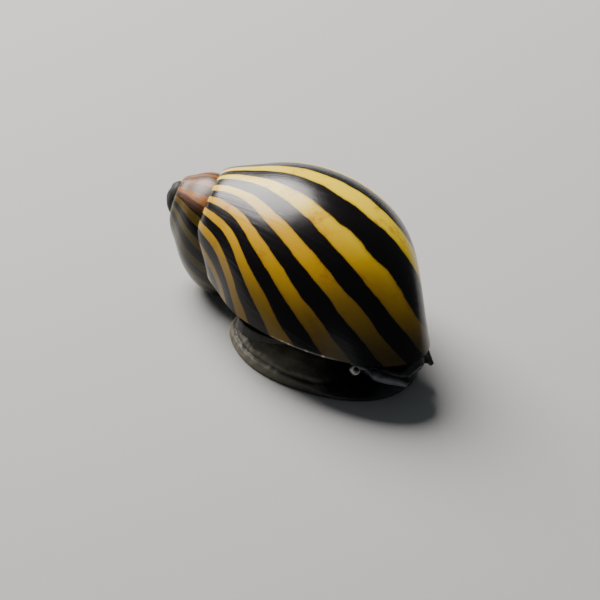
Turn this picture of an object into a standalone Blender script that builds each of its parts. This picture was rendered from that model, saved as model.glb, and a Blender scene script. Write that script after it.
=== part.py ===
"""Zebra nerite, a small freshwater snail, crawling with its shell over its foot.

Life size. +X is the way the snail crawls, +Y its left side and +Z up, and the flat sole is at z = 0.
The shell is worked out in the frame of its own coil: the coil's axis is that frame's Z with the apex at
its origin and the whole shell below it, and the coil's +X points to the outer lip.
"""

import math

import bmesh
import bpy
from mathutils import Matrix, Vector

MM = 0.001
GAP = 0.3 * MM
FAR = 60.0 * MM

# Coil of the shell: an oval tube that winds round the axis and grows by one factor each turn
GROWTH_PER_TURN = 3.15
TUBE_FROM_AXIS = 4.665 * MM
TUBE_BELOW_APEX = 17.93 * MM
TUBE_HALF_WIDTH = 6.72 * MM
TUBE_HALF_HEIGHT = 11.16 * MM
TUBE_LEAN = math.radians(11.3)
SHOULDER_RISE = 0.105
SHOULDER_AT = math.radians(68.4)
SHOULDER_SPREAD = 0.3
SPIRE_SWELL = 0.242
SPIRE_SWELL_AT = math.radians(-208.0)
SPIRE_SWELL_SPREAD = 0.45
SPIRE_FLATTER = 0.35
SPIRE_FLATTER_AT = math.radians(48.0)
SPIRE_FLATTER_SPREAD = math.radians(26.0)
CLIMB = 0.65 * MM
CLIMB_AT = math.radians(73.0)
CLIMB_SPREAD = math.radians(12.0)
CLIMB_TURNS = (math.radians(-300.0), math.radians(-200.0))
CORNER_DROP = 1.05 * MM
CORNER_TURNS = (math.radians(-38.0), math.radians(-2.0))
CORNER_ANGLES = (math.radians(20.0), math.radians(55.0))

# Plane of the shell's mouth, as slopes in the coil's frame, and the heading's turn from the coil's axis
MOUTH_SLOPE_OUT = 0.351
MOUTH_SLOPE_ALONG = -0.249
MOUTH_FROM_AXIS = 2.857 * MM
HEADING_OFF_AXIS = math.radians(-5.0)

# Pieces of the shell, with places along the coil counted in steps of a turn from the lip
STEPS_PER_TURN = 30
STEP = math.tau / STEPS_PER_TURN
AROUND = 52
FIRST_STEP = -110
SPIRE_BOTTOM = 10.0 * MM
SPIRE_LEVELS = 14
SEAT_LEVELS = 6
TIP_LEVELS = 6
SPIRE_END = -29
BODY_MIDDLE = -10
BODY_END = 14
CORE_RADIUS = 0.25 * MM
CORE_ROD = 0.4 * MM
BODY_CORE = (9.3 * MM, 14.0 * MM)
WORN_TIP = 0.8 * MM
APEX_LENGTH = 1.8 * MM
UNDERSIDE_LEVEL = 0.45 * MM
UNDERSIDE_SOFTNESS = 0.2 * MM
REAR_CUT = 6.6 * MM
REAR_CUT_SLANT = 0.86

# Mouth of the shell, with the deck on the columella's side and the mantle inside the lip
LIP_HEIGHT = 3.61 * MM
LIP_FROM = math.radians(-105.0)
LIP_TO = math.radians(88.0)
LIP_POINTS = 34
LIP_WALL = 0.8 * MM
MOUTH_DEPTH = 1.5 * MM
MOUTH_NARROWS = 1.7 * MM
DECK_SIDE_POINTS = 12
DECK_BULGE = 3.4 * MM
DECK_EDGE = -1.35 * MM
MANTLE_SHOWS = 0.25 * MM
MANTLE_WIDTH = 0.8 * MM

# Foot and its door, from the sole up
FOOT_BACK = 9.4 * MM
FOOT_FRONT = 23.8 * MM
FOOT_MIDLINE = -3.2 * MM
FOOT_HALF_WIDTH = 5.7 * MM
FOOT_TOP = 2.3 * MM
FOOT_FRONT_TOP = 1.05 * MM
FOOT_CUTS = (13.6 * MM, 19.4 * MM)
FOOT_POINTS = 48
FOOT_EGG = -0.05
FOOT_SQUARE = 2.3
COLUMN_FRONT = 18.2 * MM
OPERCULUM_MIDDLE = Vector((13.9, -6.1)) * MM
OPERCULUM_HALF_LENGTH = 2.9 * MM
OPERCULUM_BULGE = 1.9 * MM
OPERCULUM_INNER = 0.9 * MM
OPERCULUM_THICKNESS = 0.6 * MM
OPERCULUM_LOW = 0.95 * MM
OPERCULUM_TOP = 2.85 * MM
OPERCULUM_POINTS = 20

# Head
HEAD_HALF_WIDTH = 2.5 * MM
HEAD_HALF_HEIGHT = 0.78 * MM
HEAD_LEVEL = 2.1 * MM
EYE_RADIUS = 0.45 * MM
EYE_X = 21.1 * MM
EYE_LEVEL = 2.1 * MM
EYE_FROM_MIDLINE = 3.75 * MM
STALK_RADIUS = 0.5 * MM
TENTACLE_RADIUS = 0.42 * MM
TENTACLE_TIP_RADIUS = 0.2 * MM


def snail_axes():
    """Rows are the snail's forward, left and up in the coil's frame."""
    up = Vector((-MOUTH_SLOPE_OUT, 1.0, -MOUTH_SLOPE_ALONG)).normalized()
    base_way = Vector((0.0, 0.0, -1.0))
    along = (base_way - up * base_way.dot(up)).normalized()
    forward = Matrix.Rotation(HEADING_OFF_AXIS, 3, up) @ along
    return Matrix((forward, up.cross(forward), up))


GROWTH = math.log(GROWTH_PER_TURN) / math.tau
AXES = snail_axes()
MOUTH_LEVEL = -MOUTH_FROM_AXIS / Vector((MOUTH_SLOPE_OUT, 1.0, MOUTH_SLOPE_ALONG)).length
FLOOR_LEVEL = MOUTH_LEVEL - LIP_HEIGHT
MOUTH_TOP = LIP_HEIGHT + MOUTH_DEPTH - GAP


def material(name, colour, roughness):
    made = bpy.data.materials.new(name)
    made.use_nodes = True
    shader = made.node_tree.nodes["Principled BSDF"]
    shader.inputs["Base Color"].default_value = (*colour, 1.0)
    shader.inputs["Roughness"].default_value = roughness
    shader.inputs["Metallic"].default_value = 0.0
    return made


def new_object(name, make_shape):
    mesh = bpy.data.meshes.new(name)
    shape = bmesh.new()
    make_shape(shape)
    bmesh.ops.recalc_face_normals(shape, faces=shape.faces)
    shape.to_mesh(mesh)
    shape.free()
    made = bpy.data.objects.new(name, mesh)
    bpy.context.scene.collection.objects.link(made)
    return made


def loft(name, rings):
    """Closed solid through rings of equal count, with flat ends."""

    def make_shape(shape):
        loops = [[shape.verts.new(point) for point in ring] for ring in rings]
        for low, high in zip(loops, loops[1:]):
            for i in range(len(low)):
                j = (i + 1) % len(low)
                shape.faces.new((low[i], low[j], high[j], high[i]))
        shape.faces.new(loops[0])
        shape.faces.new(loops[-1])

    return new_object(name, make_shape)


def oval(centre, across, up, half_width, half_height, count, power=2.0):
    ring = []
    for i in range(count):
        cos, sin = math.cos(math.tau * i / count), math.sin(math.tau * i / count)
        side = math.copysign(abs(cos) ** (2.0 / power), cos) * half_width
        lift = math.copysign(abs(sin) ** (2.0 / power), sin) * half_height
        ring.append(centre + across * side + up * lift)
    return ring


def box(name, low, high):
    centre = (Vector(low) + Vector(high)) / 2
    place = Matrix.Translation(centre) @ Matrix.Diagonal((*(Vector(high) - Vector(low)), 1.0))
    return new_object(name, lambda shape: bmesh.ops.create_cube(shape, size=1.0, matrix=place))


def combine(target, other, operation):
    """Applies one Boolean to the target and removes the other object."""
    change = target.modifiers.new("change", "BOOLEAN")
    change.object = other
    change.operation = operation
    graph = bpy.context.evaluated_depsgraph_get()
    result = bpy.data.meshes.new_from_object(target.evaluated_get(graph))
    target.modifiers.clear()
    target.data = result
    bpy.data.objects.remove(other)


def keep_largest(target):
    """Drops all but the largest closed surface."""
    shape = bmesh.new()
    shape.from_mesh(target.data)
    seen, groups = set(), []
    for vert in shape.verts:
        if vert in seen:
            continue
        group, queue = [], [vert]
        seen.add(vert)
        while queue:
            here = queue.pop()
            group.append(here)
            for edge in here.link_edges:
                other = edge.other_vert(here)
                if other not in seen:
                    seen.add(other)
                    queue.append(other)
        groups.append(group)
    groups.sort(key=len)
    for group in groups[:-1]:
        bmesh.ops.delete(shape, geom=group, context="VERTS")
    shape.to_mesh(target.data)
    shape.free()


def finish_node(target, name, finish):
    target.name = name
    target.data.name = name
    target.data.materials.clear()
    target.data.materials.append(finish)
    target.data.shade_smooth()
    target.data.set_sharp_from_angle(angle=math.radians(35.0))


def to_snail(point):
    return AXES @ point - Vector((0.0, 0.0, FLOOR_LEVEL))


def smooth_step(value, low, high):
    part = min(max((value - low) / (high - low), 0.0), 1.0)
    return part * part * (3.0 - 2.0 * part)


def tube_section(angle, swell):
    """Distance from the axis and height of the generating curve at `angle` round it, at the lip."""
    off = (angle - SHOULDER_AT + math.pi) % math.tau - math.pi
    rise = 1.0 + SHOULDER_RISE * math.exp(-((off / SHOULDER_SPREAD) ** 2))
    wide = (TUBE_HALF_WIDTH + swell) * math.cos(angle) * rise
    tall = (TUBE_HALF_HEIGHT + swell) * math.sin(angle) * rise
    cos, sin = math.cos(TUBE_LEAN), math.sin(TUBE_LEAN)
    return TUBE_FROM_AXIS + cos * wide - sin * tall, -TUBE_BELOW_APEX + sin * wide + cos * tall


def shell_section(turn, angle, swell=0.0):
    """Distance from the axis and height of the shell's outside at one place.

    The oldest whorls are a little fatter, the last one climbs onto the one before it at the suture, and
    its newest part drops away from the suture at the rear corner of the mouth.
    """
    scale = math.exp(GROWTH * turn)
    place = (angle + math.pi / 2) % math.tau - math.pi / 2
    older = SPIRE_SWELL / (1.0 + math.exp((turn - SPIRE_SWELL_AT) / SPIRE_SWELL_SPREAD))
    newest = smooth_step(turn, *CORNER_TURNS)
    flatter = SPIRE_FLATTER * math.exp(-(((place - SPIRE_FLATTER_AT) / SPIRE_FLATTER_SPREAD) ** 2))
    out, height = tube_section(angle, swell / scale)
    climb = CLIMB * smooth_step(turn, *CLIMB_TURNS) * (1.0 - newest)
    height += climb * math.exp(-(((place - CLIMB_AT) / CLIMB_SPREAD) ** 2))
    above = smooth_step(place, *CORNER_ANGLES) * (1.0 - smooth_step(place, math.radians(200.0), math.radians(250.0)))
    return out * scale * (1.0 + older * (1.0 - flatter)), height * scale - CORNER_DROP * newest * above


def shell_point(turn, angle, swell=0.0, core=CORE_RADIUS):
    """Point of the shell's outside in the snail's frame. `turn` is 0 near the lip and negative before it."""
    out, height = shell_section(turn, angle, swell)
    out = max(out, core)
    point = to_snail(Vector((out * math.cos(turn), -out * math.sin(turn), height)))
    above = (point.z - UNDERSIDE_LEVEL) / UNDERSIDE_SOFTNESS
    if above < 20.0:
        point.z = UNDERSIDE_LEVEL + UNDERSIDE_SOFTNESS * math.log(1.0 + math.exp(above))
    return point


def whorl(name, first, last, swell=0.0, core=CORE_RADIUS):
    """One length of the coil, less than a turn, as a solid out from the axis."""
    rings = []
    for i in range(round(last - first) + 1):
        turn = (first + i) * STEP
        rings.append([shell_point(turn, math.tau * j / AROUND, swell, core) for j in range(AROUND)])
    return loft(name, rings)


def axis_core(reach):
    """A thin rod along the coil's axis, which closes the middle of the whorls."""
    ends = [to_snail(Vector((0.0, 0.0, -depth))) for depth in reach]
    way = (ends[1] - ends[0]).normalized()
    side = way.orthogonal().normalized()
    return loft("core", [oval(end, side, way.cross(side), CORE_ROD, CORE_ROD, 10) for end in ends])


def lip_point(angle):
    """Where the shell's outside at `angle` round the tube meets the plane of the mouth."""
    turn = -0.6 * math.pi
    while turn < BODY_END * STEP and shell_point(turn, angle).z > LIP_HEIGHT:
        turn += STEP / 3
    low, high = turn - STEP / 3, turn
    for _ in range(30):
        turn = (low + high) / 2
        if shell_point(turn, angle).z > LIP_HEIGHT:
            low = turn
        else:
            high = turn
    return shell_point(high, angle)


def mouth_outline():
    """The outer lip from the front round to the rear, closed on the deck's side by a bowed line."""
    outline = [lip_point(LIP_FROM + (LIP_TO - LIP_FROM) * i / (LIP_POINTS - 1)) for i in range(LIP_POINTS)]
    rear, front = outline[-1], outline[0]
    for i in range(1, DECK_SIDE_POINTS):
        part = i / DECK_SIDE_POINTS
        bow = DECK_BULGE * math.sin(math.pi * part) ** 0.7
        outline.append(rear.lerp(front, part) + Vector((0.0, bow, 0.0)))
    return [Vector((p.x, p.y)) for p in outline]


def inset(outline, depth, open_left=False):
    """Draws an outline in by `depth` at each side of its own box, or at all but the left side."""
    low = Vector((min(p.x for p in outline), min(p.y for p in outline)))
    high = Vector((max(p.x for p in outline), max(p.y for p in outline)))
    middle, size = (low + high) / 2, high - low
    shrink = Vector((1.0 - 2.0 * depth / size.x, 1.0 - 2.0 * depth / size.y))
    if open_left:
        middle.y, shrink.y = high.y, 1.0 - depth / size.y
    return [middle + (point - middle) * shrink for point in outline]


def prism(name, outline, low, high):
    return loft(name, [[Vector((p.x, p.y, level)) for p in outline] for level in (low, high)])


def tapered(name, outline, set_in, low, high, open_left=False):
    """A prism whose outline narrows above the lip, as the shell over it does."""
    rings = []
    for level in (low, LIP_HEIGHT, high):
        narrower = MOUTH_NARROWS * max(level - LIP_HEIGHT, 0.0) / MOUTH_DEPTH
        rings.append([Vector((p.x, p.y, level)) for p in inset(outline, set_in + narrower, open_left)])
    return loft(name, rings)


def right_of_deck(outline):
    """The stretch of an outline on the outer lip's side of the deck's edge."""
    kept = []
    for here, after in zip(outline, outline[1:] + outline[:1]):
        if here.y < DECK_EDGE:
            kept.append(here)
        if (here.y < DECK_EDGE) != (after.y < DECK_EDGE):
            kept.append(here.lerp(after, (DECK_EDGE - here.y) / (after.y - here.y)))
    return kept


def rear_wedge():
    """Takes off what hangs below the mouth in front of the rear whorl."""
    drop = 7.0 * MM
    low = LIP_HEIGHT - drop
    outline = [(REAR_CUT, LIP_HEIGHT), (REAR_CUT + REAR_CUT_SLANT * drop, low), (FAR, low), (FAR, LIP_HEIGHT)]
    return loft("wedge", [[Vector((x, y, z)) for x, z in outline] for y in (-FAR, FAR)])


def make_body_whorl(outline, finish):
    body = whorl("body_front", BODY_MIDDLE, BODY_END)
    combine(body, box("below_mouth", (-FAR, -FAR, -FAR), (FAR, FAR, LIP_HEIGHT)), "DIFFERENCE")
    keep_largest(body)
    combine(body, whorl("body_back", SPIRE_END, BODY_MIDDLE + 1), "UNION")
    combine(body, rear_wedge(), "DIFFERENCE")
    combine(body, axis_core(BODY_CORE), "UNION")
    combine(body, tapered("pocket", outline, LIP_WALL, LIP_HEIGHT - MM, LIP_HEIGHT + MOUTH_DEPTH), "DIFFERENCE")
    keep_largest(body)
    finish_node(body, "shell_body_whorl", finish)


def spire_reach(turn, depth):
    """How far the older whorls reach from the axis at `turn` and at `depth` below the apex."""
    reach = CORE_RADIUS
    while turn > FIRST_STEP * STEP:
        section = [shell_section(turn, math.tau * i / AROUND) for i in range(AROUND)]
        for (out, height), (next_out, next_height) in zip(section, section[1:] + section[:1]):
            if (height > -depth) != (next_height > -depth):
                part = (height + depth) / (height - next_height)
                reach = max(reach, out + (next_out - out) * part)
        turn -= math.tau
    return reach


def spire_seat(turn):
    """Heights of the body whorl's clear surface from its crown in to the axis, as (out, height) pairs."""
    seat = [shell_section(turn, SHOULDER_AT + math.pi * 0.8 * i / 40, GAP) for i in range(41)]
    return [(out, height) for out, height in seat if out > -MM]


def height_on(seat, out):
    for (outer, high), (inner, low) in zip(seat, seat[1:]):
        if inner <= out <= outer:
            return low + (high - low) * (out - inner) / (outer - inner)
    return seat[0][1] if out > seat[0][0] else seat[-1][1]


def suture_depth(turn, seat):
    """Depth below the apex at which the older whorls go under the body whorl."""
    high, low = WORN_TIP, SPIRE_BOTTOM
    for _ in range(24):
        depth = (high + low) / 2
        if -depth > height_on(seat, spire_reach(turn - math.tau, depth)):
            high = depth
        else:
            low = depth
    return depth


def spire_point(turn, out, height):
    return to_snail(Vector((out * math.cos(turn), -out * math.sin(turn), height)))


def rounded(reaches):
    """Evens out the distances round each ring of the worn tip, and keeps every ring as wide as the one above."""
    for _ in range(8):
        reaches = [
            [(ring[i - 1] + 2.0 * ring[i] + ring[(i + 1) % len(ring)]) / 4.0 for i in range(len(ring))] for ring in reaches
        ]
    for upper, lower in zip(reaches, reaches[1:]):
        for i, reach in enumerate(upper):
            lower[i] = max(lower[i], reach)
    return reaches


def make_spire(finish, worn):
    """The older whorls, down to the suture and seated on the body whorl, with the worn tip parted off."""
    turns = [(SPIRE_END + 29.5 - i / 2) * STEP for i in range(60)]
    sides = [[] for _ in range(SPIRE_LEVELS)]
    seats = [[] for _ in range(SEAT_LEVELS)]
    tip_depths = [WORN_TIP + (APEX_LENGTH - GAP / 2 - WORN_TIP) * i / (TIP_LEVELS - 1) for i in range(TIP_LEVELS)]
    tip_reaches = rounded([[spire_reach(turn - math.tau, depth) for turn in turns] for depth in tip_depths])
    tips = [
        [spire_point(turn, reach, -depth) for turn, reach in zip(turns, ring)] for ring, depth in zip(tip_reaches, tip_depths)
    ]
    for turn in turns:
        seat = spire_seat(turn)
        bottom = suture_depth(turn, seat)
        edge = spire_reach(turn - math.tau, bottom)
        for i, ring in enumerate(sides):
            depth = APEX_LENGTH + GAP / 2 + (bottom - APEX_LENGTH - GAP / 2) * i / (SPIRE_LEVELS - 1)
            ring.append(spire_point(turn, spire_reach(turn - math.tau, depth), -depth))
        for i, ring in enumerate(seats):
            out = edge + (CORE_RADIUS / 2 - edge) * (i + 1) / SEAT_LEVELS
            ring.append(spire_point(turn, out, height_on(seat, out)))
    finish_node(loft("spire", sides + seats), "shell_spire", finish)
    finish_node(loft("apex", tips), "shell_apex", worn)


def make_deck(outline, finish):
    """The flat shelf that half closes the mouth of the shell."""
    deck = tapered("deck", outline, LIP_WALL + GAP, LIP_HEIGHT - 0.01 * MM, MOUTH_TOP)
    combine(deck, box("deck_side", (-FAR, DECK_EDGE + GAP / 2, -FAR), (FAR, FAR, FAR)), "INTERSECT")
    finish_node(deck, "shell_columellar_deck", finish)


def make_mantle(outline, finish):
    ring = tapered("mantle", outline, LIP_WALL + GAP, LIP_HEIGHT - MANTLE_SHOWS, MOUTH_TOP)
    combine(ring, box("mouth_side", (-FAR, -FAR, -FAR), (FAR, DECK_EDGE - GAP / 2, FAR)), "INTERSECT")
    set_in = LIP_WALL + GAP + MANTLE_WIDTH
    combine(ring, tapered("hole", right_of_deck(outline), set_in, 0.0, MOUTH_TOP + GAP, True), "DIFFERENCE")
    finish_node(ring, "mantle_edge", finish)


def operculum_outline(swell=0.0):
    """The D-shaped door seen from above, with its round side out."""
    points = []
    for i in range(OPERCULUM_POINTS):
        cos, sin = math.cos(math.tau * i / OPERCULUM_POINTS), math.sin(math.tau * i / OPERCULUM_POINTS)
        bulge = OPERCULUM_BULGE if sin < 0 else OPERCULUM_INNER
        points.append(OPERCULUM_MIDDLE + Vector(((OPERCULUM_HALF_LENGTH + swell) * cos, (bulge + swell) * sin)))
    return points


def make_column(outline, finish):
    """The body between the foot and the shell's mouth."""
    kept = []
    for point in inset(right_of_deck(outline), LIP_WALL + MANTLE_WIDTH + MOUTH_NARROWS + 2 * GAP, True):
        point = Vector((min(point.x, COLUMN_FRONT), min(point.y, DECK_EDGE - GAP)))
        if not kept or (point - kept[-1]).length > 0.02 * MM:
            kept.append(point)
    column = prism("column", kept, FOOT_TOP + GAP, MOUTH_TOP)
    combine(column, prism("room", operculum_outline(GAP), 0.0, OPERCULUM_TOP + GAP), "DIFFERENCE")
    finish_node(column, "body_column", finish)


def foot_solid(name, swell=0.0):
    """An egg-shaped oval, blunter in front, that draws in from the sole to its top and is lower in front."""
    layers = ((0.0, 0.12), (0.25, 0.0), (0.7, 0.05), (1.25, 0.45), (1.8, 1.1), (2.15, 1.8), (2.3, 2.7))
    middle, half_length = (FOOT_BACK + FOOT_FRONT) / 2, (FOOT_FRONT - FOOT_BACK) / 2
    rings = []
    for level, set_in in layers:
        ring = []
        for i in range(FOOT_POINTS):
            cos, sin = math.cos(math.tau * i / FOOT_POINTS), math.sin(math.tau * i / FOOT_POINTS)
            along = math.copysign(abs(cos) ** (2.0 / FOOT_SQUARE), cos)
            across = math.copysign(abs(sin) ** (2.0 / FOOT_SQUARE), sin) * (1.0 + FOOT_EGG * along)
            x = middle + (half_length - set_in * MM + swell) * along
            drop = smooth_step(x, FOOT_CUTS[1] - 1.2 * MM, FOOT_CUTS[1] + 0.9 * MM)
            height = level * MM * (1.0 + (FOOT_FRONT_TOP / FOOT_TOP - 1.0) * drop) + swell
            y = FOOT_MIDLINE + (FOOT_HALF_WIDTH - set_in * MM + swell) * across
            ring.append(Vector((x, y, height if not swell or level else -MM)))
        rings.append(ring)
    return loft(name, rings)


def make_foot(finish):
    ends = (-FAR, *FOOT_CUTS, FAR)
    for name, low, high in zip(("foot_tail", "foot_middle", "foot_front"), ends, ends[1:]):
        piece = foot_solid(name)
        combine(piece, box("keep", (low + GAP / 2, -FAR, -FAR), (high - GAP / 2, FAR, FAR)), "INTERSECT")
        finish_node(piece, name, finish)


def make_operculum(finish):
    plate = foot_solid("plate", GAP + OPERCULUM_THICKNESS)
    combine(plate, foot_solid("clear_foot", GAP), "DIFFERENCE")
    combine(plate, prism("d_shape", operculum_outline(), OPERCULUM_LOW, OPERCULUM_TOP), "INTERSECT")
    keep_largest(plate)
    finish_node(plate, "operculum", finish)


def swept(name, stations, finish, count=24, power=2.4):
    """A soft form along a bent path. Each station is a point, a half width and a half height."""
    points = [station[0] for station in stations]
    rings = []
    for i, (point, half_width, half_height) in enumerate(stations):
        way = (points[min(i + 1, len(points) - 1)] - points[max(i - 1, 0)]).normalized()
        across = way.cross(Vector((0.0, 0.0, 1.0)))
        across = across.normalized() if across.length > 0.3 else Vector((0.0, -1.0, 0.0))
        rings.append(oval(point, across, across.cross(way), half_width, half_height, count, power))
    finish_node(loft(name, rings), name, finish)


def make_head(flesh, eye_finish):
    def at(x, y, z):
        return Vector((x * MM, y * MM, z * MM))

    wide, tall = HEAD_HALF_WIDTH, HEAD_HALF_HEIGHT
    middle, level = FOOT_MIDLINE / MM, HEAD_LEVEL / MM
    neck = [
        (at(19.35, -4.0, 4.7), 0.52 * wide, 0.8 * tall),
        (at(19.5, -4.0, 4.0), 0.58 * wide, 0.9 * tall),
        (at(19.65, -4.0, 3.6), 0.60 * wide, tall),
        (at(19.75, -3.9, 3.2), 0.62 * wide, tall),
    ]
    swept("neck", neck, flesh)
    head = [
        (at(20.0, middle - 0.3, level + 0.05), 0.80 * wide, 0.75 * tall),
        (at(20.5, middle - 0.1, level), 0.95 * wide, 0.95 * tall),
        (at(21.3, middle, level), wide, tall),
        (at(22.1, middle, level), 0.96 * wide, 0.96 * tall),
        (at(22.7, middle, level - 0.05), 0.86 * wide, 0.9 * tall),
    ]
    swept("head", head, flesh)
    snout = [
        (at(23.0, middle, level - 0.08), 0.82 * wide, 0.85 * tall),
        (at(23.5, middle, level - 0.15), 0.78 * wide, 0.78 * tall),
        (at(24.0, middle, level - 0.22), 0.68 * wide, 0.62 * tall),
        (at(24.4, middle, level - 0.3), 0.45 * wide, 0.3 * tall),
    ]
    swept("snout", snout, flesh)
    for side, name in ((-1.0, "right"), (1.0, "left")):
        out = middle + side * (HEAD_HALF_WIDTH + GAP) / MM
        stalk = [
            (at(EYE_X / MM, out, EYE_LEVEL / MM), STALK_RADIUS, STALK_RADIUS),
            (at(EYE_X / MM, out + side * 0.3, EYE_LEVEL / MM), 0.8 * STALK_RADIUS, 0.8 * STALK_RADIUS),
        ]
        swept("eye_stalk_" + name, stalk, flesh, 12, 2.0)
        bpy.ops.mesh.primitive_uv_sphere_add(segments=16, ring_count=10, radius=EYE_RADIUS)
        ball = bpy.context.object
        place = Vector((EYE_X, FOOT_MIDLINE + side * EYE_FROM_MIDLINE, EYE_LEVEL))
        ball.data.transform(Matrix.Translation(place))
        finish_node(ball, "eye_" + name, eye_finish)
        reach, bend = (2.85, (0.45, 0.55, 0.35)) if name == "right" else (2.2, (0.2, -0.2, -0.9))
        thick, thin = TENTACLE_RADIUS, TENTACLE_TIP_RADIUS
        tentacle = [
            (at(22.35, out + side * 0.15, level + 0.1), thick, thick),
            (at(22.35 + 0.25 * reach, out + side * bend[0], level), 0.92 * thick, 0.92 * thick),
            (at(22.35 + 0.6 * reach, out + side * bend[1], level - 0.25), 0.76 * thick, 0.76 * thick),
            (at(22.35 + reach, out + side * bend[2], level - 0.5), thin, thin),
        ]
        swept("tentacle_" + name, tentacle, flesh, 12, 2.0)


def centre_on_box():
    """Puts the middle of the model's box over the origin. The sole stays at z = 0."""
    points = [point.co for item in bpy.context.scene.objects for point in item.data.vertices]
    spans = [[point[axis] for point in points] for axis in (0, 1)]
    shift = Vector((*(-(min(span) + max(span)) / 2 for span in spans), 0.0))
    for item in bpy.context.scene.objects:
        item.data.transform(Matrix.Translation(shift))
    return shift


for old in list(bpy.data.objects):
    bpy.data.objects.remove(old)
shell_finish = material("zebra_shell", (0.10, 0.075, 0.02), 0.22)
flesh_finish = material("dark_flesh", (0.035, 0.035, 0.03), 0.42)
MOUTH = mouth_outline()
make_body_whorl(MOUTH, shell_finish)
make_spire(shell_finish, material("worn_tip", (0.06, 0.055, 0.055), 0.55))
make_deck(MOUTH, material("callus", (0.55, 0.50, 0.38), 0.3))
make_mantle(MOUTH, material("mantle", (0.05, 0.045, 0.05), 0.3))
make_column(MOUTH, flesh_finish)
make_foot(flesh_finish)
make_operculum(material("operculum_horn", (0.10, 0.095, 0.06), 0.4))
make_head(flesh_finish, material("eye", (0.01, 0.01, 0.012), 0.08))
SHIFT = centre_on_box()
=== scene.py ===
"""Zebra nerite, a small striped freshwater snail, in mid-crawl with its shell over a flat dark foot."""

import math

import bmesh
import bpy
from mathutils import Matrix, Vector, noise


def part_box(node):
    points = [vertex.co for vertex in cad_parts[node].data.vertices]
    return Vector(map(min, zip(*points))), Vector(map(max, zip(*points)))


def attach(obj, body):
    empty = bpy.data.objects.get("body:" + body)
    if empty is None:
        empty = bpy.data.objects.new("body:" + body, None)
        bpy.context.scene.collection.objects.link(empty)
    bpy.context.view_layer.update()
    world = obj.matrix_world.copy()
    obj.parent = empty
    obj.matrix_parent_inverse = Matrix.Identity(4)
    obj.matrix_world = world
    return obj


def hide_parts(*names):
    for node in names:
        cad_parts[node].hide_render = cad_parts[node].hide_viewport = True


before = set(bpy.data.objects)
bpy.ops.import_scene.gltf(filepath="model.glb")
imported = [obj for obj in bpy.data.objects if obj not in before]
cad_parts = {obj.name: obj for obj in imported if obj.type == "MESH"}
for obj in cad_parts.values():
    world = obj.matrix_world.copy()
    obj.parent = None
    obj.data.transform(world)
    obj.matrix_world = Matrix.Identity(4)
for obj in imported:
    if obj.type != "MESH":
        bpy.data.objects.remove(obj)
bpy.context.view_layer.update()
MM = 0.001

# Camera, in line with the photograph: above the snail, on its right and a little in front.
# It stands well back behind a long lens, so that the view is almost without perspective.
CAMERA_ACROSS = Vector((0.84920, 0.51571, 0.11359))
CAMERA_UP = Vector((-0.35362, 0.39559, 0.84762))
CAMERA_BACK = CAMERA_ACROSS.cross(CAMERA_UP)
CAMERA_DISTANCE = 0.9
SENSOR = 36.0
PICTURE_PIXELS = 600.0
PIXEL = 0.0731161 * MM
COIL_TIP_PIXEL_X = 161.4
COIL_TIP_PIXEL_Y = 183.67
EYE_TO_COIL_TIP = Vector((-21.1, 6.95, 4.1343)) * MM

right_eye_low, right_eye_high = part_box("eye_right")
RIGHT_EYE = (right_eye_low + right_eye_high) / 2
COIL_TIP = RIGHT_EYE + EYE_TO_COIL_TIP
aim_right = (PICTURE_PIXELS / 2 - COIL_TIP_PIXEL_X) * PIXEL
aim_down = (PICTURE_PIXELS / 2 - COIL_TIP_PIXEL_Y) * PIXEL
aim = COIL_TIP + CAMERA_ACROSS * aim_right - CAMERA_UP * aim_down
lens = bpy.data.cameras.new("camera")
lens.sensor_width = SENSOR
lens.lens = SENSOR * CAMERA_DISTANCE / (PICTURE_PIXELS * PIXEL)
lens.clip_start = 0.01
lens.clip_end = 20.0
camera = bpy.data.objects.new("camera", lens)
camera_turn = Matrix((CAMERA_ACROSS, CAMERA_UP, CAMERA_BACK)).transposed().to_4x4()
camera.matrix_world = Matrix.Translation(aim + CAMERA_BACK * CAMERA_DISTANCE) @ camera_turn
bpy.context.scene.collection.objects.link(camera)
bpy.context.scene.camera = camera

# Floor and light: a pale table, a wide soft lamp high behind the snail and a weak one low on its right.
# The room around them is dim, so the black of the shell stays deep.
FLOOR_REACH = 1.5
LAMPS_AIM = Vector((0.0, 0.0, 0.005))
ROOM_LIGHT = (0.80, 0.86, 0.92, 1.0)
ROOM_STRENGTH = 0.11


def plain_material(name, colour, roughness):
    """A Principled material of one colour."""
    made = bpy.data.materials.new(name)
    made.use_nodes = True
    shader = made.node_tree.nodes["Principled BSDF"]
    shader.inputs["Base Color"].default_value = (*colour, 1.0)
    shader.inputs["Roughness"].default_value = roughness
    return made


def finished(name, shape, material):
    """An object at the origin that holds the finished bmesh."""
    mesh = bpy.data.meshes.new(name)
    shape.to_mesh(mesh)
    shape.free()
    mesh.shade_smooth()
    made = bpy.data.objects.new(name, mesh)
    made.data.materials.append(material)
    bpy.context.scene.collection.objects.link(made)
    return made


def soft_lamp(name, place, size, watts, colour):
    """A round area lamp that is turned to the snail."""
    lamp = bpy.data.lights.new(name, "AREA")
    lamp.shape = "DISK"
    lamp.size = size
    lamp.energy = watts
    lamp.color = colour
    holder = bpy.data.objects.new(name, lamp)
    holder.location = place
    holder.rotation_euler = (LAMPS_AIM - Vector(place)).to_track_quat("-Z", "Y").to_euler()
    bpy.context.scene.collection.objects.link(holder)


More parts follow.
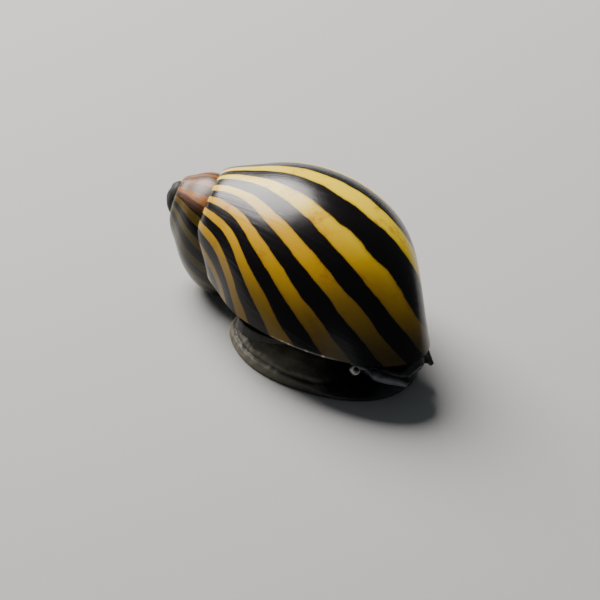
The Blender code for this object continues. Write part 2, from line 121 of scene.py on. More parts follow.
shape = bmesh.new()
bmesh.ops.create_grid(shape, x_segments=1, y_segments=1, size=FLOOR_REACH)
floor = finished("floor", shape, plain_material("pale_floor", (0.42, 0.43, 0.42), 0.75))
soft_lamp("rear_lamp", place=(-0.206, 0.086, 0.187), size=0.228, watts=2.75, colour=(1.0, 0.95, 0.92))
soft_lamp("side_lamp", place=(0.05, -0.20, 0.05), size=0.10, watts=0.012, colour=(0.94, 0.97, 1.0))
room = bpy.data.worlds.new("room")
room.use_nodes = True
room_light = room.node_tree.nodes["Background"]
room_light.inputs["Color"].default_value = ROOM_LIGHT
room_light.inputs["Strength"].default_value = ROOM_STRENGTH
bpy.context.scene.world = room

# Shell: one thin-walled oval tube that winds round an axis and grows by one factor each turn, as the
# living shell does. It is drawn ring by ring from the worn tip to the lip and cut level at the mouth.
GROWTH_PER_TURN = 3.15
STEPS_PER_TURN = 30
TUBE_FROM_AXIS = 4.665 * MM
TUBE_BELOW_APEX = 17.93 * MM
TUBE_HALF_WIDTH = 6.72 * MM
TUBE_HALF_HEIGHT = 11.16 * MM
TUBE_LEAN = math.radians(11.3)
WORN_TIP = 0.8 * MM
TIP_SOFTNESS = 0.24 * MM
TIP_ROUGHNESS = 0.12 * MM
TIP_GRAIN = 2600.0
CORE_RADIUS = 0.02 * MM
UNDERSIDE_LEVEL = 0.45 * MM
UNDERSIDE_SOFTNESS = 0.2 * MM
LIP_HEIGHT = 3.61 * MM

# The shoulder rises a little, and the oldest whorls are a little fatter. Angles and turns are in degrees.
SHOULDER_RISE = 0.105
SHOULDER_AT = 68.4
SHOULDER_SPREAD = math.degrees(0.3)
SPIRE_SWELL = 0.242
SPIRE_SWELL_AT = -208.0
SPIRE_SWELL_SPREAD = math.degrees(0.45)
SPIRE_FLATTER = 0.35
SPIRE_FLATTER_AT = 48.0
SPIRE_FLATTER_SPREAD = 26.0

# The last whorl climbs onto the one before it at the suture, and drops away at the mouth's rear corner
CLIMB = 0.65 * MM
CLIMB_AT = 73.0
CLIMB_SPREAD = 12.0
CLIMB_TURNS = (-300.0, -200.0)
CORNER_DROP = 1.05 * MM
CORNER_TURNS = (-38.0, -2.0)
CORNER_FROM = (20.0, 55.0)
CORNER_TO = (200.0, 250.0)

# Rings along the coil: places are steps of a turn, 0 near the lip and less the older the shell is
AROUND = 132
FIRST_STEP = -84.0
LAST_WHORL_STEP = -30.0
MOUTH_STEP = -10.0
LAST_STEP = 14.0
SPIRE_PITCH = 0.5
WHORL_PITCH = 0.2
SAME_PLACE = 1e-7

STEP = math.tau / STEPS_PER_TURN
GROWTH = math.log(GROWTH_PER_TURN) / math.tau
MOUTH_WAY = Vector((-0.351, 1.0, 0.249)).normalized()
HEADING_OFF_AXIS = math.radians(-5.0)
along_mouth = (Vector((0.0, 0.0, -1.0)) + MOUTH_WAY * MOUTH_WAY.z).normalized()
heading = Matrix.Rotation(HEADING_OFF_AXIS, 3, MOUTH_WAY) @ along_mouth
COIL_TO_WORLD = Matrix((heading, MOUTH_WAY.cross(heading), MOUTH_WAY))


def smooth_step(value, low, high):
    part = min(max((value - low) / (high - low), 0.0), 1.0)
    return part * part * (3.0 - 2.0 * part)


def bell(value, middle, spread):
    return math.exp(-(((value - middle) / spread) ** 2))


def softened(value, softness):
    """The value where it is well above nothing, with a soft bend to nothing below."""
    if value > 20.0 * softness:
        return value
    return softness * math.log(1.0 + math.exp(value / softness))


def tube_reach(step, angle):
    """The shell's outside at a step of the coil and an angle round it: distance from the axis, and height."""
    turn = math.degrees(step * STEP)
    place = (math.degrees(angle) + 90.0) % 360.0 - 90.0
    rise = 1.0 + SHOULDER_RISE * bell(place, SHOULDER_AT, SHOULDER_SPREAD)
    wide = TUBE_HALF_WIDTH * math.cos(angle) * rise
    tall = TUBE_HALF_HEIGHT * math.sin(angle) * rise
    out = TUBE_FROM_AXIS + math.cos(TUBE_LEAN) * wide - math.sin(TUBE_LEAN) * tall
    height = -TUBE_BELOW_APEX + math.sin(TUBE_LEAN) * wide + math.cos(TUBE_LEAN) * tall
    swell = SPIRE_SWELL / (1.0 + math.exp((turn - SPIRE_SWELL_AT) / SPIRE_SWELL_SPREAD))
    swell *= 1.0 - SPIRE_FLATTER * bell(place, SPIRE_FLATTER_AT, SPIRE_FLATTER_SPREAD)
    newest = smooth_step(turn, *CORNER_TURNS)
    climb = CLIMB * smooth_step(turn, *CLIMB_TURNS) * (1.0 - newest) * bell(place, CLIMB_AT, CLIMB_SPREAD)
    drop = CORNER_DROP * newest * smooth_step(place, *CORNER_FROM) * (1.0 - smooth_step(place, *CORNER_TO))
    scale = math.exp(GROWTH * step * STEP)
    return out * scale * (1.0 + swell), (height + climb) * scale - drop


def coil_place(step, angle):
    """World place of that point. The tip is worn off level and the underside clears the ground."""
    out, height = tube_reach(step, angle)
    out = max(out, CORE_RADIUS)
    point = Vector((out * math.cos(step * STEP), -out * math.sin(step * STEP), height))
    ragged = TIP_ROUGHNESS * noise.noise(point * TIP_GRAIN)
    point.z -= softened(point.z + WORN_TIP + ragged, TIP_SOFTNESS)
    place = COIL_TO_WORLD @ point + COIL_TIP
    place.z = UNDERSIDE_LEVEL + softened(place.z - UNDERSIDE_LEVEL, UNDERSIDE_SOFTNESS)
    return place


# Each yellow stripe from tip to lip: its step at the suture, and its lean per degree below the shoulder
STRIPES = [(-84.0 + 1.4 * i, 0.004) for i in range(32)]
STRIPES += [(-39.3, 0.004), (-37.7, 0.004), (-35.6, 0.006), (-33.7, 0.008), (-32.2, 0.008), (-30.6, 0.008)]
STRIPES += [(-29.1 + 1.34 * i, 0.008) for i in range(14)]
STRIPES += [(-9.5, 0.009), (-8.2, 0.028), (-6.8, 0.032), (-5.6, 0.037), (-4.55, 0.045), (-3.45, 0.055)]
STRIPES += [(-2.2, 0.060), (-1.0, 0.065), (0.4, 0.070), (1.9, 0.072), (3.5, 0.074), (5.2, 0.076)]
STRIPES += [(7.0, 0.078)]
SHOULDER_BEND_AT = 54.0
SHOULDER_BEND = 4.5
LEAN_ENDS = 150.0


def stripe_place(step, angle):
    """Which stripe a point is on: a whole number in the middle of a yellow one, halves in the black ones."""
    under = SHOULDER_BEND_AT - ((math.degrees(angle) + 180.0) % 360.0 - 180.0)
    below = min(softened(under, SHOULDER_BEND), LEAN_ENDS)
    for number, (older, newer) in enumerate(zip(STRIPES, STRIPES[1:])):
        low = older[0] + older[1] * below
        high = newer[0] + newer[1] * below
        if step < high:
            break
    return number + (step - low) / (high - low)


def grown_out(shape, edges):
    """Extrudes the open edges and gives the new verts and the new open edges."""
    grown = bmesh.ops.extrude_edge_only(shape, edges=edges)["geom"]
    new_verts = {item for item in grown if isinstance(item, bmesh.types.BMVert)}
    new_edges = [
        item for item in grown
        if isinstance(item, bmesh.types.BMEdge) and new_verts.issuperset(item.verts)
    ]
    return new_verts, new_edges


def sliced(shape, faces, place, way):
    """Cuts the faces along a plane and keeps both sides."""
    around = dict.fromkeys(item for face in faces for item in (*face.verts, *face.edges))
    geometry = [*around, *faces]
    bmesh.ops.bisect_plane(shape, geom=geometry, plane_co=place, plane_no=way, dist=SAME_PLACE)


shape = bmesh.new()
angle_layer = shape.verts.layers.float.new("angle")
step_layer = shape.verts.layers.float.new("growth")
stripe_layer = shape.verts.layers.float.new("stripe")
bmesh.ops.create_circle(shape, segments=AROUND, radius=1.0)
for vert in shape.verts:
    vert[angle_layer] = math.atan2(vert.co.y, vert.co.x)
ring_verts, ring_edges = list(shape.verts), list(shape.edges)
step = FIRST_STEP
while True:
    for vert in ring_verts:
        vert.co = coil_place(step, vert[angle_layer])
        vert[step_layer] = step
        vert[stripe_layer] = stripe_place(step, vert[angle_layer])
    if step >= LAST_STEP - WHORL_PITCH / 2:
        break
    step += SPIRE_PITCH if step < LAST_WHORL_STEP else WHORL_PITCH
    ring_verts, ring_edges = grown_out(shape, ring_edges)

# The mouth: everything of the last part of the coil below the lip goes, and what hangs there of the
# whorl before it is pressed up level with the lip, as on the flat underside of the living shell.
EYE_TO_REAR = -14.5 * MM
REAR_SLANT = Vector((1.0, 0.0, 0.86)).normalized()
REAR_X = RIGHT_EYE.x + EYE_TO_REAR
rear_cut = Vector((REAR_X, 0.0, LIP_HEIGHT))
front = [face for face in shape.faces if max(vert[step_layer] for vert in face.verts) > LAST_WHORL_STEP]
sliced(shape, front, Vector((0.0, 0.0, LIP_HEIGHT)), Vector((0.0, 0.0, 1.0)))
rear = []
for face in shape.faces:
    steps = [vert[step_layer] for vert in face.verts]
    if min(steps) > LAST_WHORL_STEP and max(steps) < MOUTH_STEP + WHORL_PITCH / 2:
        rear.append(face)
sliced(shape, rear, rear_cut, REAR_SLANT)
below_lip = []
for face in shape.faces:
    middle_step = sum(vert[step_layer] for vert in face.verts) / len(face.verts)
    if middle_step > MOUTH_STEP and face.calc_center_median().z < LIP_HEIGHT:
        below_lip.append(face)
bmesh.ops.delete(shape, geom=below_lip, context="FACES")
for vert in shape.verts:
    past_cut = (vert.co - rear_cut).dot(REAR_SLANT) > 10.0 * SAME_PLACE
    if past_cut and vert.co.z < LIP_HEIGHT and vert[step_layer] > LAST_WHORL_STEP:
        vert.co.z = LIP_HEIGHT
kept = {min(shape.verts, key=lambda vert: vert[step_layer])}
reached = list(kept)
while reached:
    for edge in reached.pop().link_edges:
        for vert in edge.verts:
            if edge.link_faces and vert not in kept:
                kept.add(vert)
                reached.append(vert)
bmesh.ops.delete(shape, geom=[vert for vert in shape.verts if vert not in kept], context="VERTS")

# The lip's rounded edge and the wall inside it, drawn in from the cut: millimetres inwards and up
LIP_PROFILE = ((0.06, -0.05), (0.10, -0.02), (0.16, 0.0), (0.25, 0.06), (0.7, 1.25))
rim = [
    edge for edge in shape.edges
    if len(edge.link_faces) == 1 and edge.verts[0][step_layer] > LAST_WHORL_STEP
]
for edge in rim:
    edge.smooth = False
rim_x = [vert.co.x for edge in rim for vert in edge.verts]
rim_y = [vert.co.y for edge in rim for vert in edge.verts]
rim_middle = Vector((min(rim_x) + max(rim_x), min(rim_y) + max(rim_y), 0.0)) / 2
for inward, up in LIP_PROFILE:
    moved, rim = grown_out(shape, rim)
    for vert in moved:
        vert.co.x += (rim_middle.x - vert.co.x) * 2 * inward * MM / (max(rim_x) - min(rim_x))
        vert.co.y += (rim_middle.y - vert.co.y) * 2 * inward * MM / (max(rim_y) - min(rim_y))
        vert.co.z += up * MM
bmesh.ops.recalc_face_normals(shape, faces=shape.faces)


class Finish:
    """A material under way. Each call adds a node and gives back what comes out of it."""

    def __init__(self, material):
        self.nodes = material.node_tree.nodes
        self.links = material.node_tree.links
        self.shader = self.nodes["Principled BSDF"]
        self.place = self.add("TexCoord").outputs["Object"]

    def add(self, kind, **settings):
        node = self.nodes.new("ShaderNode" + kind)
        for name, setting in settings.items():
            setattr(node, name, setting)
        return node

    def feed(self, socket, item):
        """Links another node's output to the socket, or sets it to a number or a colour."""
        if isinstance(item, bpy.types.NodeSocket):
            self.links.new(item, socket)
        elif isinstance(item, tuple):
            socket.default_value = (*item, 1.0)
        else:
            socket.default_value = item

    def attribute(self, name):
        return self.add("Attribute", attribute_name=name).outputs["Fac"]

    def maths(self, operation, *items):
        node = self.add("Math", operation=operation)
        for socket, item in zip(node.inputs, items):
            self.feed(socket, item)
        return node.outputs[0]

    def product(self, first, second):
        return self.maths("MULTIPLY", first, second)

    def stretched(self, item, factor, start):
        """The item times the factor, from the start."""
        return self.maths("MULTIPLY_ADD", item, factor, start)

    def clouds(self, scale, detail, roughness=0.5, place=None):
        node = self.add("TexNoise")
        self.feed(node.inputs["Scale"], scale)
        self.feed(node.inputs["Detail"], detail)
        self.feed(node.inputs["Roughness"], roughness)
        self.feed(node.inputs["Vector"], self.place if place is None else place)
        return node.outputs["Fac"]

    def fade(self, item, low, high, share=1.0, start=0.0):
        """From the start at the item's low value smoothly to the share at its high one."""
        node = self.add("MapRange", interpolation_type="SMOOTHSTEP")
        self.feed(node.inputs["From Min"], low)
        self.feed(node.inputs["From Max"], high)
        self.feed(node.inputs["To Min"], start)
        self.feed(node.inputs["To Max"], share)
        self.feed(node.inputs["Value"], item)
        return node.outputs["Result"]

    def wane(self, item, low, high):
        """From one down to nothing."""
        return self.fade(item, low, high, 0.0, 1.0)

    def blend(self, share, below, above):
        """The colour above laid over the one below."""
        node = self.add("Mix", data_type="RGBA")
        colours = [socket for socket in node.inputs if socket.type == "RGBA"]
        self.feed(node.inputs[0], share)
        self.feed(colours[0], below)
        self.feed(colours[1], above)
        return next(socket for socket in node.outputs if socket.type == "RGBA")

    def ramp(self, item, stops):
        """Colours at rising values of the item."""
        node = self.add("ValToRGB")
        elements = node.color_ramp.elements
        while len(elements) < len(stops):
            elements.new(0.5)
        for element, (position, colour) in zip(elements, stops):
            element.position = position
            element.color = (*colour, 1.0)
        self.feed(node.inputs[0], item)
        return node.outputs["Color"]

    def surface(self, colour, height, strength, depth):
        """Gives the shader its colour and an uneven surface."""
        bump = self.add("Bump")
        self.feed(bump.inputs["Strength"], strength)
        self.feed(bump.inputs["Distance"], depth)
        self.feed(bump.inputs["Height"], height)
        self.feed(self.shader.inputs["Normal"], bump.outputs["Normal"])
        self.feed(self.shader.inputs["Base Color"], colour)

    def gloss(self, specular=0.5, coat=0.0, coat_roughness=0.03):
        """Numbers that are the same all over the piece."""
        self.shader.inputs["Specular IOR Level"].default_value = specular
        self.shader.inputs["Coat Weight"].default_value = coat
        self.shader.inputs["Coat Roughness"].default_value = coat_roughness


# Colours of the shell, and the steps of growth over which one passes into the next
LEMON = (0.90, 0.66, 0.012)
GOLD = (0.68, 0.38, 0.004)
RUST = (0.52, 0.20, 0.008)
STRIPE_BORDER = (0.33, 0.17, 0.008)
# Dull brown of the newest shell, partly darker shell and partly painted shade
DULL_BROWN_AND_SHADE = (0.060, 0.045, 0.014)
# Painted shade low on the shell by the lip
LIP_PAINTED_SHADE = (0.016, 0.012, 0.006)
FAINT_BROWN = (0.020, 0.015, 0.006)
SPIRE_RED_BROWN = (0.17, 0.054, 0.003)
SPIRE_ORANGE = (0.32, 0.12, 0.012)
SPIRE_BLACK = (0.10, 0.036, 0.012)
BLACK_DEEP = (0.0015, 0.001, 0.0015)
BLACK_WARM = (0.004, 0.0025, 0.0025)
# Pale grey of the painted glint on the lip's edge
LIP_PAINTED_GLINT = (0.62, 0.62, 0.57)
WORN_DARK = (0.004, 0.0035, 0.003)
WORN_GREY = (0.022, 0.018, 0.013)
LEMON_TO_GOLD = (-7.6, -5.4)
GOLD_TO_DULL_AND_SHADE = (-6.3, -2.9)
FAINT_FROM = (-36.2, -34.6)
FAINT_TO = (-27.5, -24.0)
SPIRE_TO = (-34.9, -33.5)
WORN_TO = (-44.5, -38.5)
LIP_MIDDLE = REAR_X + 11.6 * MM


def yellow_colour(paint, growth, patchy, across, along, level):
    """The yellow stripes: lemon on older shell, golden on newer, dull brown towards the lip and the front,
    partly painted shade, and darker still low by the lip in painted shade.
    """
    colour = paint.blend(paint.fade(patchy, *LEMON_TO_GOLD), LEMON, GOLD)
    colour = paint.blend(paint.fade(paint.clouds(520.0, 4.0, 0.65), 0.54, 0.72, 0.75), colour, RUST)
    colour = paint.blend(paint.fade(across, 0.62, 1.1, 0.55), colour, STRIPE_BORDER)
    # Dull brown over the newest growth and towards the front: partly darker shell, partly painted shade on
    # the side turned from the lamp
    ahead = paint.stretched(paint.fade(along, 1.0 * MM, 9.0 * MM), 1.9, -0.7)
    dull = paint.fade(paint.maths("ADD", patchy, ahead), *GOLD_TO_DULL_AND_SHADE, 0.76)
    colour = paint.blend(dull, colour, DULL_BROWN_AND_SHADE)
    # Painted shade: the yellow darkens low on the shell by the lip, and more so towards the front
    shaded_near_lip = paint.wane(level, LIP_HEIGHT + 0.3 * MM, LIP_HEIGHT + 3.6 * MM)
    in_front = paint.stretched(paint.fade(along, 3.0 * MM, 9.0 * MM), 0.45, 0.40)
    colour = paint.blend(paint.product(shaded_near_lip, in_front), colour, LIP_PAINTED_SHADE)
    # The whorl before the last is nearly black
    faint = paint.product(paint.fade(growth, *FAINT_FROM, 0.94), paint.wane(growth, *FAINT_TO))
    return paint.blend(faint, colour, FAINT_BROWN)


def painted_lip_glint(paint, along, level):
    """A painted glint along the thin newest edge, in the middle of the lip, broken into sparkles."""
    behind = paint.fade(along, LIP_MIDDLE - 3.2 * MM, LIP_MIDDLE - 2.0 * MM)
    ahead = paint.wane(along, LIP_MIDDLE + 1.8 * MM, LIP_MIDDLE + 2.6 * MM)
    edge = paint.wane(level, LIP_HEIGHT + 0.03 * MM, LIP_HEIGHT + 0.15 * MM)
    glint_sparkles = paint.stretched(paint.fade(paint.clouds(1100.0, 2.0), 0.52, 0.64), 0.75, 0.22)
    return paint.product(paint.product(edge, paint.product(behind, ahead)), glint_sparkles)


def growth_ridges(paint, growth):
    """Fine lines that run along each old lip."""
    lines = paint.add("CombineXYZ")
    paint.feed(lines.inputs[0], paint.product(growth, 7.0))
    paint.feed(lines.inputs[1], paint.product(paint.attribute("angle"), 0.35))
    return paint.clouds(1.0, 5.0, 0.65, lines.outputs[0])


def shell_material():
    """Glossy black with golden stripes, orange brown on the oldest whorls and dull on the worn tip."""
    made = plain_material("striped_shell", (0.01, 0.01, 0.01), 0.24)
    paint = Finish(made)
    apart = paint.add("SeparateXYZ")
    paint.feed(apart.inputs[0], paint.place)
    along, level = apart.outputs["X"], apart.outputs["Z"]
    growth = paint.attribute("growth")
    wobble = paint.stretched(paint.clouds(420.0, 3.0), 0.16, -0.08)
    number = paint.maths("ADD", paint.attribute("stripe"), wobble)
    from_black = paint.maths("FRACT", paint.maths("ADD", number, 0.5))
    from_middle = paint.maths("ABSOLUTE", paint.maths("SUBTRACT", from_black, 0.5))
    half_width = paint.stretched(paint.clouds(230.0, 2.0), 0.11, 0.175)
    across = paint.maths("DIVIDE", from_middle, half_width)
    patchy = paint.maths("ADD", growth, paint.stretched(paint.clouds(260.0, 3.0), 1.1, -0.55))
    oldest = paint.wane(patchy, *SPIRE_TO)
    yellow = yellow_colour(paint, growth, patchy, across, along, level)
    yellow = paint.blend(oldest, yellow, paint.blend(paint.clouds(700.0, 3.0), SPIRE_RED_BROWN, SPIRE_ORANGE))
    black = paint.blend(paint.clouds(500.0, 4.0), BLACK_DEEP, BLACK_WARM)
    black = paint.blend(paint.product(oldest, 0.6), black, SPIRE_BLACK)
    colour = paint.blend(paint.wane(across, 0.93, 1.08), black, yellow)
    # Painted glint: a pale line in sparkles along the lip's edge
    colour = paint.blend(painted_lip_glint(paint, along, level), colour, LIP_PAINTED_GLINT)
    worn = paint.wane(paint.maths("ADD", growth, paint.product(paint.clouds(900.0, 4.0), 9.0)), *WORN_TO)
    colour = paint.blend(worn, colour, paint.blend(paint.clouds(1500.0, 5.0), WORN_DARK, WORN_GREY))
    ridges = growth_ridges(paint, growth)
    pitted = paint.stretched(paint.product(worn, paint.clouds(2500.0, 4.0)), 3.0, ridges)
    paint.surface(colour, pitted, strength=0.42, depth=0.05 * MM)
    rougher = paint.stretched(worn, 0.35, paint.product(oldest, 0.08))
    roughness = paint.maths("ADD", paint.stretched(ridges, 0.20, 0.115), rougher)
    paint.feed(paint.shader.inputs["Roughness"], roughness)
    paint.gloss(specular=0.28, coat=0.06, coat_roughness=0.1)
    return made


shell = finished("striped_shell", shape, shell_material())
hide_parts("shell_body_whorl", "shell_spire", "shell_apex")
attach(shell, "root")

# Shelf of the shell's mouth: smooth cream callus, laid down by the mantle on the columella's side. It is
# seen only from below.
CALLUS_DARK = (0.50, 0.40, 0.24)
CALLUS_LIGHT = (0.70, 0.63, 0.47)


def mottled(material, scale, dark, light, strength, depth):
    """Clouded colour and a fine uneven surface, both fixed in the piece. Gives back its Finish."""
    paint = Finish(material)
    colour = paint.ramp(paint.clouds(scale, 6.0), ((0.35, dark), (0.68, light)))
    paint.surface(colour, paint.clouds(scale * 6.0, 4.0), strength, depth)
    return paint


def redress(node, material):
    """Gives a CAD node a better material and leaves its mesh alone."""
    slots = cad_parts[node].data.materials
    slots.clear()
    slots.append(material)


callus = plain_material("callus", (0.60, 0.52, 0.36), 0.3)
mottled(callus, 350.0, CALLUS_DARK, CALLUS_LIGHT, strength=0.15, depth=0.03 * MM)
redress("shell_columellar_deck", callus)

# Mantle edge: the thin dark fold of skin that lines the lip and builds the shell. It is wet and finely
# speckled.
MANTLE_DARK = (0.006, 0.006, 0.007)
MANTLE_LIGHT = (0.05, 0.05, 0.045)
mantle = plain_material("wet_mantle", (0.02, 0.02, 0.022), 0.25)
mottled(mantle, 1500.0, MANTLE_DARK, MANTLE_LIGHT, strength=0.4, depth=0.04 * MM).gloss(coat=0.3)
redress("mantle_edge", mantle)

# Operculum: the smooth limy door, nearly black outside, that the snail carries on its tail, under the
# lip. Its faceted solid is made one fine mesh and polished.
HORN_DARK = (0.004, 0.004, 0.004)
HORN_LIGHT = (0.022, 0.021, 0.017)
DOOR_MESH = 0.07 * MM
DOOR_POLISH = 8


def merged_solid(node):
    """A copy of a CAD node's mesh with its doubles merged."""
    solid = bmesh.new()
    solid.from_mesh(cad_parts[node].data)
    bmesh.ops.remove_doubles(solid, verts=solid.verts, dist=SAME_PLACE)
    bmesh.ops.recalc_face_normals(solid, faces=solid.faces)
    solid.normal_update()
    return solid


def one_fine_mesh(piece, cell):
    """The piece's shape again as one even mesh, in a new bmesh."""
    remesh = piece.modifiers.new("one_mesh", "REMESH")
    remesh.mode = "VOXEL"
    remesh.voxel_size = cell
    whole = bpy.data.meshes.new_from_object(piece.evaluated_get(bpy.context.evaluated_depsgraph_get()))
    piece.modifiers.clear()
    even = bmesh.new()
    even.from_mesh(whole)
    bpy.data.meshes.remove(whole)
    even.normal_update()
    return even


def smoothed(shape, times):
    for _ in range(times):
        bmesh.ops.smooth_vert(
            shape, verts=shape.verts, factor=0.5, use_axis_x=True, use_axis_y=True, use_axis_z=True
        )


def dressed(piece, shape, nodes):
    """Puts the finished bmesh in the piece, which stands for its nodes."""
    shape.to_mesh(piece.data)
    shape.free()
    piece.data.shade_smooth()
    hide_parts(*nodes)
    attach(piece, "root")


horn = plain_material("operculum_horn", (0.01, 0.01, 0.01), 0.42)
mottled(horn, 700.0, HORN_DARK, HORN_LIGHT, strength=0.25, depth=0.03 * MM).gloss(specular=0.22)
door = finished("operculum_door", merged_solid("operculum"), horn)
door_shape = one_fine_mesh(door, DOOR_MESH)
smoothed(door_shape, DOOR_POLISH)
dressed(door, door_shape, ["operculum"])

# Flesh: one soft dark skin over foot, body, head, eye stalks and tentacles. The solids are swollen until
# they meet, made one mesh, drawn back to size and smoothed, and then wrinkled.
SKIN_NODES = (
    "body_column", "foot_tail", "foot_middle", "foot_front", "neck", "head", "snout", "eye_stalk_right",
    "eye_stalk_left", "tentacle_right", "tentacle_left",
)
SWELL = 0.19 * MM
DRAW_IN = 0.22 * MM
SKIN_MESH = 0.10 * MM
SKIN_SMOOTHING = 4
together = bmesh.new()
for node in SKIN_NODES:
    solid = merged_solid(node)
    moves = [(vert, vert.normal * SWELL * min(vert.calc_shell_factor(), 2.0)) for vert in solid.verts]
    for vert, move in moves:
        vert.co += move
    swollen = bpy.data.meshes.new("swollen_" + node)
    solid.to_mesh(swollen)
    solid.free()
    together.from_mesh(swollen)
    bpy.data.meshes.remove(swollen)

# A small swelling of the head over the right eye, under the lip
BROW = RIGHT_EYE + Vector((0.30, 0.34, 0.50)) * MM
BROW_SIZE = Matrix.Diagonal((0.95 * MM, 0.50 * MM, 0.42 * MM, 1.0))
brow_place = Matrix.Translation(BROW) @ BROW_SIZE
bmesh.ops.create_icosphere(together, subdivisions=3, radius=1.0, matrix=brow_place)

BLACK_SKIN = ((0.004, 0.004, 0.0045), (0.012, 0.012, 0.011))
OLIVE_SKIN = ((0.112, 0.103, 0.072), (0.150, 0.139, 0.098))
OLIVE_SPECKS = (0.20, 0.19, 0.15)
# Yellow-brown band low round the end of the tail
TAIL_END_YELLOW_BROWN = (0.19, 0.155, 0.085)
# Pale bluish grey of the right tentacle and brow: partly paler skin, partly painted sheen
FEELER_GREY_AND_SHEEN = (0.115, 0.125, 0.145)
# Painted bluish sheen before the right eye
BLOOM_PAINTED_SHEEN = (0.050, 0.056, 0.070)
SOLE_SKIN = ((0.045, 0.044, 0.036), (0.11, 0.105, 0.08))


def flesh_material():
    """Moist skin, nearly black, mottled with olive grey on the tail, with a paler right tentacle and brow
    that are partly painted sheen, a painted bluish sheen before the right eye and painted shade in the foot's
    groove.
    """
    made = plain_material("moist_flesh", (0.01, 0.01, 0.009), 0.32)
    paint = Finish(made)
    upright = paint.add("Mapping")
    upright.inputs["Scale"].default_value = (1.0, 1.0, 1.7)
    paint.feed(upright.inputs["Vector"], paint.place)
    cloud = paint.clouds(420.0, 5.0)
    folds = paint.clouds(900.0, 5.0, place=upright.outputs[0])
    specks = paint.clouds(4200.0, 3.0)
    black = paint.blend(paint.fade(cloud, 0.35, 0.7), *BLACK_SKIN)
    olive = paint.blend(paint.fade(folds, 0.36, 0.66), *OLIVE_SKIN)
    olive = paint.blend(paint.fade(specks, 0.55, 0.75, 0.20), olive, OLIVE_SPECKS)
    colour = paint.blend(paint.attribute("tail"), black, olive)
    for zone, patches, above in (
        # A yellow-brown band low round the end of the tail
        ("rim", paint.fade(cloud, 0.3, 0.6), TAIL_END_YELLOW_BROWN),
        # Right tentacle and brow: partly paler skin, partly painted sheen
        ("feeler", paint.fade(folds, 0.30, 0.62), FEELER_GREY_AND_SHEEN),
        # Painted bluish sheen ahead of the right eye
        ("bloom", paint.fade(cloud, 0.25, 0.6), BLOOM_PAINTED_SHEEN),
    ):
        colour = paint.blend(paint.product(paint.attribute(zone), patches), colour, above)
    sole = paint.blend(paint.fade(cloud, 0.3, 0.7), *SOLE_SKIN)
    colour = paint.blend(paint.attribute("sole"), colour, sole)
    paint.surface(colour, paint.stretched(specks, 0.3, folds), strength=0.42, depth=0.05 * MM)
    drier = paint.product(paint.attribute("tail"), 0.30)
    roughness = paint.maths("ADD", paint.stretched(folds, 0.25, 0.26), drier)
    paint.feed(paint.shader.inputs["Roughness"], roughness)
    paint.gloss(specular=0.4, coat=0.06, coat_roughness=0.2)
    return made


flesh = finished("flesh", together, flesh_material())
skin = one_fine_mesh(flesh, SKIN_MESH)
for vert, normal in [(vert, vert.normal.copy()) for vert in skin.verts]:
    vert.co -= normal * DRAW_IN
smoothed(skin, SKIN_SMOOTHING)
skin.normal_update()

# Wrinkles and zones of the skin. These places and depths are in millimetres: the foot's side has a
# groove all along it, darkened as painted shade, with folds above and below, and the near side of the tail is
# slimmer.
GROOVE_DEPTH = 0.17
GROOVE_LEVEL = 0.95
GROOVE_WANDERS = 0.12
GROOVE_SPREAD = 0.13
GROOVE_ENDS = (8.5, 11.5)
FOLD_DEPTH = 0.12
FOLDS_END = (6.0, 13.0)
PIT_DEPTH = 0.018
FLANK_FROM = (0.15, 0.45)
OLIVE_ENDS = (5.0, 11.0)
RIM_ENDS = (0.4, 2.2)
SLIMMER_ENDS = (0.8, 7.5)
TAIL_SLIMMER = 0.50
TAIL_SHORTER = 0.12
TENTACLE_LIFT = Vector((0.0, 0.41, 0.59))
tail_low, tail_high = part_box("foot_tail")
feeler_low, feeler_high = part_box("tentacle_right")
zones = {name: skin.verts.layers.float.new(name) for name in ("tail", "rim", "feeler", "bloom", "sole")}


def fold_height(place, from_tail, groove):
    """How far the side of the foot stands out there."""
    folds = abs(noise.noise(Vector((place.x * 1.9, place.y * 1.9, place.z * 0.9)))) - 0.2
    folds *= (1.0 - smooth_step(from_tail, *FOLDS_END)) * (1.0 - 0.75 * smooth_step(place.z, 1.1, 1.5))
    return -GROOVE_DEPTH * groove + FOLD_DEPTH * folds + PIT_DEPTH * noise.noise(place * 5.0)


def on_tentacle(place):
    """One on the right tentacle and nothing elsewhere."""
    from_root = place.x - feeler_low.x / MM
    from_side = place.y - feeler_high.y / MM
    near = smooth_step(from_root, 0.1, 0.8) * (1.0 - smooth_step(from_side, -0.2, 0.3))
    return near * smooth_step(place.z, 1.0, 1.4)


def painted_sheen_before_eye(place):
    """A painted bluish sheen on the front of the foot, ahead of the right eye."""
    from_eye = place - RIGHT_EYE / MM
    bloom = smooth_step(from_eye.x, 1.1, 2.0) * (1.0 - smooth_step(abs(from_eye.y - 1.9), 0.7, 1.9))
    return bloom * smooth_step(place.z, 0.1, 0.45) * (1.0 - smooth_step(place.z, 1.1, 1.4))


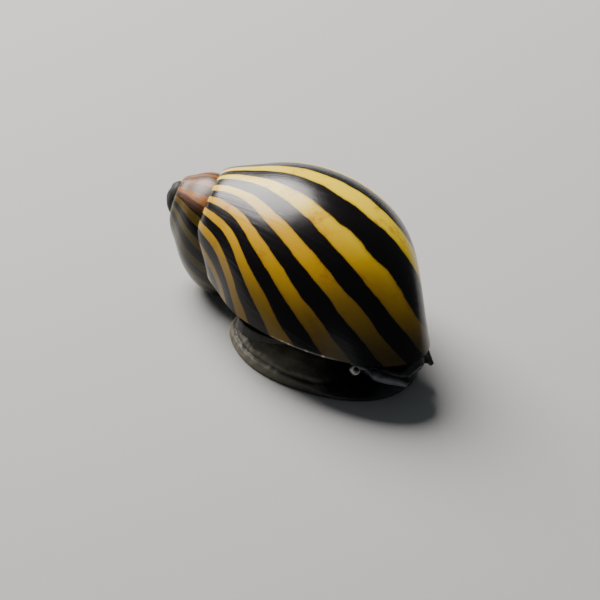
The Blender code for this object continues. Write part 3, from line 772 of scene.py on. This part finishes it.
moves = []
for vert in skin.verts:
    place = vert.co / MM
    from_tail = place.x - tail_low.x / MM
    facing_down = smooth_step(-vert.normal.z, 0.75, 0.95)
    upright = 1.0 - facing_down
    groove_level = GROOVE_LEVEL + GROOVE_WANDERS * noise.noise(place * 0.7)
    groove = bell(place.z, groove_level, GROOVE_SPREAD) * (1.0 - smooth_step(from_tail, *GROOVE_ENDS))
    olive = 1.0 - smooth_step(from_tail + 1.6 * noise.noise(place * 0.8), *OLIVE_ENDS)
    rim_height = smooth_step(place.z, 0.3, 0.55) * (1.0 - smooth_step(place.z, 0.7, 0.9))
    tentacle = on_tentacle(place)
    on_brow = 1.0 - smooth_step((vert.co - BROW).length / MM, 0.5, 1.1)
    # The olive gives way to black in the groove: painted shade in the crease
    vert[zones["tail"]] = olive * upright * (1.0 - 0.7 * groove)
    vert[zones["rim"]] = upright * (1.0 - smooth_step(from_tail, *RIM_ENDS)) * rim_height
    vert[zones["feeler"]] = max(tentacle, on_brow)
    vert[zones["bloom"]] = upright * painted_sheen_before_eye(place)
    vert[zones["sole"]] = facing_down * (1.0 - smooth_step(place.z, 0.2, 0.5))
    stands_out = upright * smooth_step(place.z, *FLANK_FROM) * fold_height(place, from_tail, groove)
    near_side = smooth_step((tail_low.y + tail_high.y) / 2 / MM - place.y, 0.5, 4.5)
    slimmer = Vector((TAIL_SHORTER, TAIL_SLIMMER * near_side, 0.0))
    slimmer *= 1.0 - smooth_step(from_tail, *SLIMMER_ENDS)
    lifted = tentacle * smooth_step(place.x, feeler_low.x / MM, feeler_high.x / MM)
    moves.append((vert, (vert.normal * stands_out + slimmer + TENTACLE_LIFT * lifted) * MM))
for vert, move in moves:
    vert.co += move
dressed(flesh, skin, SKIN_NODES)

# Eyes: a small ball on each stalk, with a black pupil in a pale silvery ring that faces out and
# forwards; the ring is a painted highlight. It is wet and clear, so it also catches a sharp highlight.
EYE_SET = Vector((0.13, 0.17, 0.15)) * MM
EYE_FACING = Vector((0.62, -0.58, 0.52))
EYE_SHARE = 0.97
PUPIL_BULGE = 0.03
PUPIL_SPREAD = 26.0
EYE_FURROW = 0.035
EYE_FURROW_AT = 66.0
EYE_FURROW_SPREAD = 12.0
HALF_TURN = 180.0
# Ramp of the eye: black pupil, then the pale ring of painted highlight, then dark skin
EYE_COLOURS_AND_PAINTED_RING = (
    (0.17, (0.003, 0.003, 0.005)),
    (0.205, (0.34, 0.35, 0.36)),
    (0.27, (0.66, 0.66, 0.62)),
    (0.33, (0.24, 0.24, 0.22)),
    (0.42, (0.025, 0.025, 0.024)),
    (1.0, (0.012, 0.012, 0.012)),
)


def eye_material():
    """Rings of colour round the pupil, by the angle from its middle; the pale ring is a painted highlight."""
    made = plain_material("wet_eye", (0.01, 0.01, 0.012), 0.08)
    paint = Finish(made)
    unsure = paint.stretched(paint.clouds(6000.0, 2.0), 9.0, paint.attribute("off_pupil"))
    colour = paint.ramp(paint.maths("DIVIDE", unsure, HALF_TURN), EYE_COLOURS_AND_PAINTED_RING)
    paint.feed(paint.shader.inputs["Base Color"], colour)
    paint.gloss(coat=0.8, coat_roughness=0.04)
    return made


eye_glass = eye_material()
for side, node in ((1.0, "eye_right"), (-1.0, "eye_left")):
    low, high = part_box(node)
    mirrored = Vector((1.0, side, 1.0))
    centre = (low + high) / 2 + EYE_SET * mirrored
    facing = (EYE_FACING * mirrored).to_track_quat("Z", "Y").to_matrix().to_4x4()
    ball = bmesh.new()
    off_layer = ball.verts.layers.float.new("off_pupil")
    bmesh.ops.create_uvsphere(ball, u_segments=48, v_segments=32, radius=(high.z - low.z) / 2 * EYE_SHARE)
    for vert in ball.verts:
        off_pupil = math.degrees(math.acos(max(-1.0, min(1.0, vert.co.normalized().z))))
        vert[off_layer] = off_pupil
        bulge = PUPIL_BULGE * bell(off_pupil, 0.0, PUPIL_SPREAD)
        furrow = EYE_FURROW * bell(off_pupil, EYE_FURROW_AT, EYE_FURROW_SPREAD)
        vert.co *= 1.0 + bulge - furrow
    bmesh.ops.transform(ball, verts=ball.verts, matrix=Matrix.Translation(centre) @ facing)
    eye = finished(node + "_ball", ball, eye_glass)
    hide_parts(node)
    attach(eye, "root")
